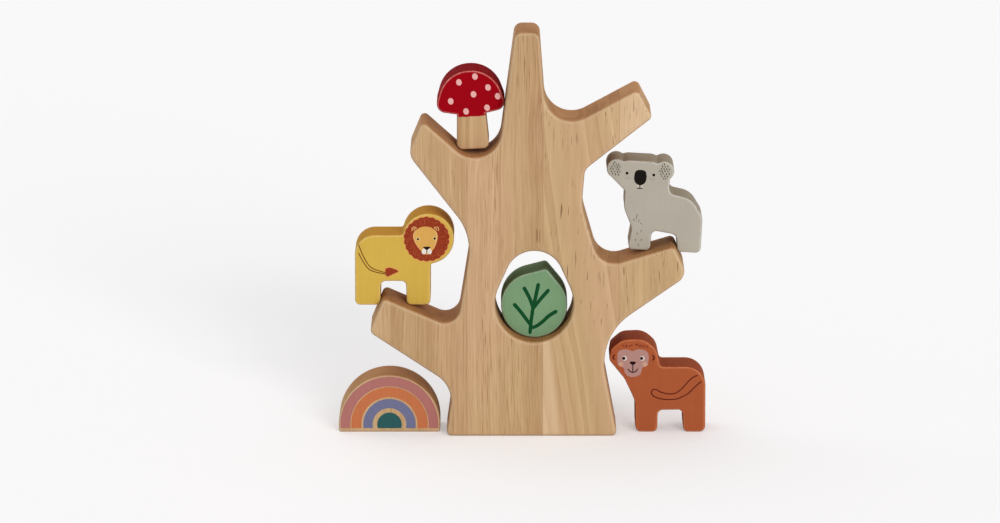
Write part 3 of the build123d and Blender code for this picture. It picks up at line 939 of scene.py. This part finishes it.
def dress_monkey():
    """A brown monkey: a mauve face, small ears and a tail drawn in outline."""
    dress("monkey", paint("monkey"))
    face = [
        (4.4, 49.3), (7.0, 50.9), (10.4, 51.0), (13.1, 49.9), (15.6, 51.0), (19.0, 51.0),
        (21.9, 49.6), (23.0, 46.6), (22.7, 43.6), (22.3, 41.2), (20.2, 40.2), (18.9, 39.4),
        (18.4, 36.9), (16.6, 34.8), (13.3, 34.1), (10.2, 34.8), (8.5, 36.9), (8.0, 39.4),
        (6.2, 40.4), (4.4, 41.6), (4.0, 44.8),
    ]
    printed("monkey", "face", "face", [smooth(face, steps=4)])
    printed("monkey", "cheeks", "cheek", ovals([(6.2, 41.9), (20.6, 41.9)], 2.8, 2.8), 2)
    printed("monkey", "eye_whites", "white", ovals([(8.4, 45.6), (19.0, 45.6)], 3.0, 3.0), 3)
    nose = [(11.6, 43.3), (13.4, 43.6), (15.2, 43.3), (14.6, 42.1), (13.4, 41.6), (12.2, 42.1)]
    pupils = ovals([(7.9, 45.6), (18.6, 45.6)], 1.9, 1.9)
    mouth = [
        stroke([(13.4, 42.0), (13.4, 37.4)], 0.5),
        stroke([(10.7, 38.9), (11.7, 37.5), (13.4, 37.0), (15.1, 37.5), (16.1, 38.9)], 0.55),
    ]
    printed("monkey", "nose_and_eyes", "black", [smooth(nose), *pupils, *mouth], 4)
    ears = [
        [(2.5, 47.6), (1.8, 47.1), (1.5, 46.3), (1.7, 45.6), (2.3, 45.1)],
        [(25.2, 47.2), (25.9, 46.7), (26.2, 45.9), (26.0, 45.2), (25.4, 44.6)],
    ]
    tail = [
        (54.4, 31.2), (50.6, 27.7), (46.4, 23.6), (41.6, 21.1), (38.6, 20.3), (34.4, 20.1),
        (30.8, 20.5), (27.4, 21.5), (25.3, 22.9), (24.6, 24.7), (25.6, 26.3), (27.8, 26.1),
        (30.4, 24.7), (34.4, 23.7), (38.6, 23.9), (41.9, 25.9), (44.8, 28.9), (47.8, 32.4),
        (50.6, 34.4), (52.2, 34.9),
    ]
    brow = [
        [(7.3, 53.7), (8.0, 53.1)], [(8.9, 53.3), (9.5, 52.5)], [(9.9, 53.8), (9.5, 52.9)],
        [(11.3, 53.6), (11.2, 52.8)], [(12.9, 53.9), (12.4, 53.3)], [(15.1, 54.3), (15.7, 53.6)],
        [(16.5, 54.6), (16.1, 53.9)], [(16.9, 53.5), (17.4, 52.8)], [(18.3, 53.9), (18.0, 53.1)],
        [(18.9, 53.3), (19.5, 52.7)], [(20.2, 53.4), (20.6, 52.7)], [(21.7, 52.9), (22.2, 52.3)],
    ]
    lines = [stroke(line, 0.75) for line in ears]
    lines.append(stroke(tail, 0.6, steps=4))
    lines += [stroke(line, 0.4, **SHORT) for line in brow]
    printed("monkey", "lines", "line", lines, 2)


def dress_lemur():
    """A grey lemur: a pale mask with dark eye patches, and a banded tail."""
    dress("lemur", paint("lemur"))
    mask = [
        (29.7, 50.4), (26.4, 51.8), (22.9, 50.2), (21.7, 46.0), (24.0, 41.0), (29.7, 38.0),
        (35.4, 41.0), (37.7, 46.0), (36.5, 50.2), (33.0, 51.8),
    ]
    chest = [(29.6, 33.4), (34.2, 30.4), (34.8, 23.0), (30.2, 17.0), (25.4, 22.4), (25.2, 30.0)]
    tail = [
        (5.0, 6.0), (4.6, 14.0), (5.2, 22.0), (9.0, 28.0), (14.6, 28.6), (17.2, 24.0), (14.4, 20.6),
    ]
    pale = [smooth(mask), smooth(chest), stroke(tail, 3.6, 3.0)]
    printed("lemur", "mask_chest_and_tail", "white", pale)
    line = smooth(tail, closed=False, steps=8)
    bands = [
        stroke(line[start : start + BAND_LENGTH], 3.7, steps=1, cap_steps=1)
        for start in range(1, len(line) - BAND_LENGTH, BAND_SPACING)
    ]
    patches = [oval(25.4, 46.4, 5.0, 6.0, -18), oval(34.0, 46.4, 5.0, 6.0, 18)]
    ears = [[(19.2, 56.6), (22.6, 53.9), (20.2, 52.6)], [(39.2, 56.6), (35.8, 53.9), (38.6, 52.6)]]
    nose = smooth([(28.0, 42.6), (31.4, 42.6), (30.6, 40.9), (29.7, 40.4), (28.8, 40.9)])
    dark = [*patches, *map(smooth, ears), *bands, nose]
    printed("lemur", "patches_and_bands", "dark", dark, 2)
    eyes = [(25.7, 46.6), (33.7, 46.6)]
    printed("lemur", "eyes", "amber", ovals(eyes, 2.9, 2.9), 3)
    printed("lemur", "pupils", "black", ovals(eyes, 1.5, 1.5), 4)


def dress_fox():
    """A tan fox: pale cheeks, dark feet and a brush with a pale tip."""
    dress("fox", paint("fox"))
    cheek = smooth(
        [
            (3.4, 30.0), (7.4, 30.6), (11.2, 28.2), (FOX_MIDDLE, 24.4), (FOX_MIDDLE, 21.4),
            (10.2, 21.2), (6.6, 23.4), (4.0, 26.6),
        ]
    )
    tip = [(36.6, 30.4), (39.0, 27.4), (39.4, 23.6), (36.6, 25.0), (34.0, 25.6), (35.0, 28.6)]
    printed("fox", "cheeks_and_tip", "white", [cheek, mirrored(cheek, FOX_MIDDLE), smooth(tip)])
    brush = [
        (28.0, 13.6), (33.4, 14.6), (38.2, 18.6), (40.0, 24.0), (39.0, 28.4), (36.6, 31.0),
        (34.2, 28.4), (32.8, 24.6), (30.6, 20.4), (27.6, 17.4),
    ]
    feet = [
        smooth([(4.2, 2.0), (12.2, 2.0), (12.4, 5.6), (8.2, 6.6), (4.2, 5.6)]),
        smooth([(32.8, 2.0), (40.2, 2.0), (40.4, 5.6), (36.6, 6.6), (32.6, 5.6)]),
    ]
    ear = smooth([(5.6, 42.2), (9.0, 39.4), (6.0, 37.0)])
    dark = [stroke(brush, 0.6), *feet, ear, mirrored(ear, FOX_MIDDLE)]
    printed("fox", "lines_and_feet", "brown", dark, 2)
    eyes = ovals([(9.0, 32.6), (19.6, 32.6)], 1.8, 2.0)
    printed("fox", "nose_and_eyes", "black", [*eyes, oval(FOX_MIDDLE, 24.2, 3.4, 2.6)], 3)


def dress_crocodile():
    """A green crocodile: a toothed mouth, ridges along its back and scales on its side."""
    dress("crocodile", paint("crocodile"))
    mouth = [(82.0, 11.4), (76.0, 11.0), (70.0, 11.2), (65.6, 12.4), (63.4, 14.4)]
    ridges = [
        smooth([(x - RIDGE_HALF, 21.8), (x, 18.9), (x + RIDGE_HALF, 21.8), (x, 22.2)])
        for x in RIDGE_PLACES
    ]
    start, end = SCALE_SPAN
    scales = [
        stroke([(x - SCALE_HALF, z + 0.8), (x, z - 0.5), (x + SCALE_HALF, z + 0.8)], 0.5)
        for row, z in enumerate(SCALE_ROWS)
        for x in range(start + SCALE_SHIFT * (row % 2), end, SCALE_SPACING)
    ]
    tail = [stroke([(x, 12.6 - 0.02 * x), (x + 0.8, 15.0)], 0.8) for x in (4.0, 7.6, 11.2)]
    dark = [*ridges, *scales, *tail, stroke(mouth, 0.6)]
    printed("crocodile", "ridges_and_scales", "dark", dark)
    teeth = [
        smooth([(x - TOOTH_HALF, 10.7), (x + TOOTH_HALF, 10.7), (x, 9.0)], steps=3)
        for x in TOOTH_PLACES
    ]
    printed("crocodile", "teeth_and_eye", "white", [*teeth, oval(66.0, 19.4, 4.0, 4.0)], 2)
    black = [oval(66.4, 19.5, 2.0, 2.2), oval(80.6, 13.8, 1.2, 0.9)]
    printed("crocodile", "pupil_and_nostril", "black", black, 3)


def seen_share(tree):
    """Is 1 for rays of the camera, of gloss and of glass, and 0 for light on the object."""
    path = tree.nodes.new("ShaderNodeLightPath").outputs
    share = path["Is Camera Ray"]
    for kind in ("Is Glossy Ray", "Is Transmission Ray"):
        node = tree.nodes.new("ShaderNodeMath")
        node.operation = "MAXIMUM"
        tree.links.new(share, node.inputs[0])
        tree.links.new(path[kind], node.inputs[1])
        share = node.outputs[0]
    return share


def make_floor():
    """A round pale floor that keeps the object's soft shadow."""
    bpy.ops.mesh.primitive_circle_add(vertices=FLOOR_SIDES, radius=FLOOR_RADIUS, fill_type="NGON")
    floor = bpy.context.object
    floor.name = "floor"
    material = bpy.data.materials.new("floor_paper")
    material.use_nodes = True
    tree = material.node_tree
    shader = tree.nodes["Principled BSDF"]
    shader.inputs["Base Color"].default_value = srgb(FLOOR_COLOUR)
    shader.inputs["Roughness"].default_value = FLOOR_ROUGHNESS
    shader.inputs["Specular IOR Level"].default_value = 0.0
    shader.inputs["Emission Color"].default_value = srgb(FLOOR_COLOUR)
    glow = tree.nodes.new("ShaderNodeMath")
    glow.operation = "MULTIPLY"
    glow.inputs[1].default_value = FLOOR_GLOW
    tree.links.new(seen_share(tree), glow.inputs[0])
    tree.links.new(glow.outputs[0], shader.inputs["Emission Strength"])
    floor.data.materials.append(material)


def make_sky():
    """A white background that lights the object plainly."""
    world = bpy.data.worlds.new("studio")
    bpy.context.scene.world = world
    world.use_nodes = True
    tree = world.node_tree
    shown, ambient = tree.nodes["Background"], tree.nodes.new("ShaderNodeBackground")
    shown.inputs["Color"].default_value = srgb(SKY_COLOUR)
    ambient.inputs["Color"].default_value = srgb(AMBIENT_COLOUR)
    ambient.inputs["Strength"].default_value = AMBIENT_STRENGTH
    mix = tree.nodes.new("ShaderNodeMixShader")
    tree.links.new(seen_share(tree), mix.inputs[0])
    tree.links.new(ambient.outputs[0], mix.inputs[1])
    tree.links.new(shown.outputs[0], mix.inputs[2])
    tree.links.new(mix.outputs[0], tree.nodes["World Output"].inputs["Surface"])


def make_lights():
    """Two wide soft lights: one from the front right, and a weak one from behind on the left."""
    for name, (origin, strength, spread) in LIGHTS.items():
        lamp = bpy.data.lights.new(name, "SUN")
        lamp.energy = strength
        lamp.angle = math.radians(spread)
        light = bpy.data.objects.new(name, lamp)
        light.location = origin
        light.rotation_euler = (-origin).to_track_quat("-Z", "Y").to_euler()
        bpy.context.scene.collection.objects.link(light)


def make_camera():
    """The camera of the picture."""
    camera = bpy.data.objects.new("camera", bpy.data.cameras.new("camera"))
    camera.data.lens = CAMERA_LENS
    camera.location = CAMERA_PLACE
    camera.rotation_euler = (CAMERA_TARGET - CAMERA_PLACE).to_track_quat("-Z", "Y").to_euler()
    bpy.context.scene.collection.objects.link(camera)
    bpy.context.scene.camera = camera


bpy.context.scene.view_settings.view_transform = "Standard"
make_camera()
make_sky()
make_lights()
make_floor()
make_inks()
dress_tree()
dress_mushroom()
dress_leaf()
dress_rainbow()
dress_lion()
dress_koala()
dress_monkey()
dress_lemur()
dress_fox()
dress_crocodile()
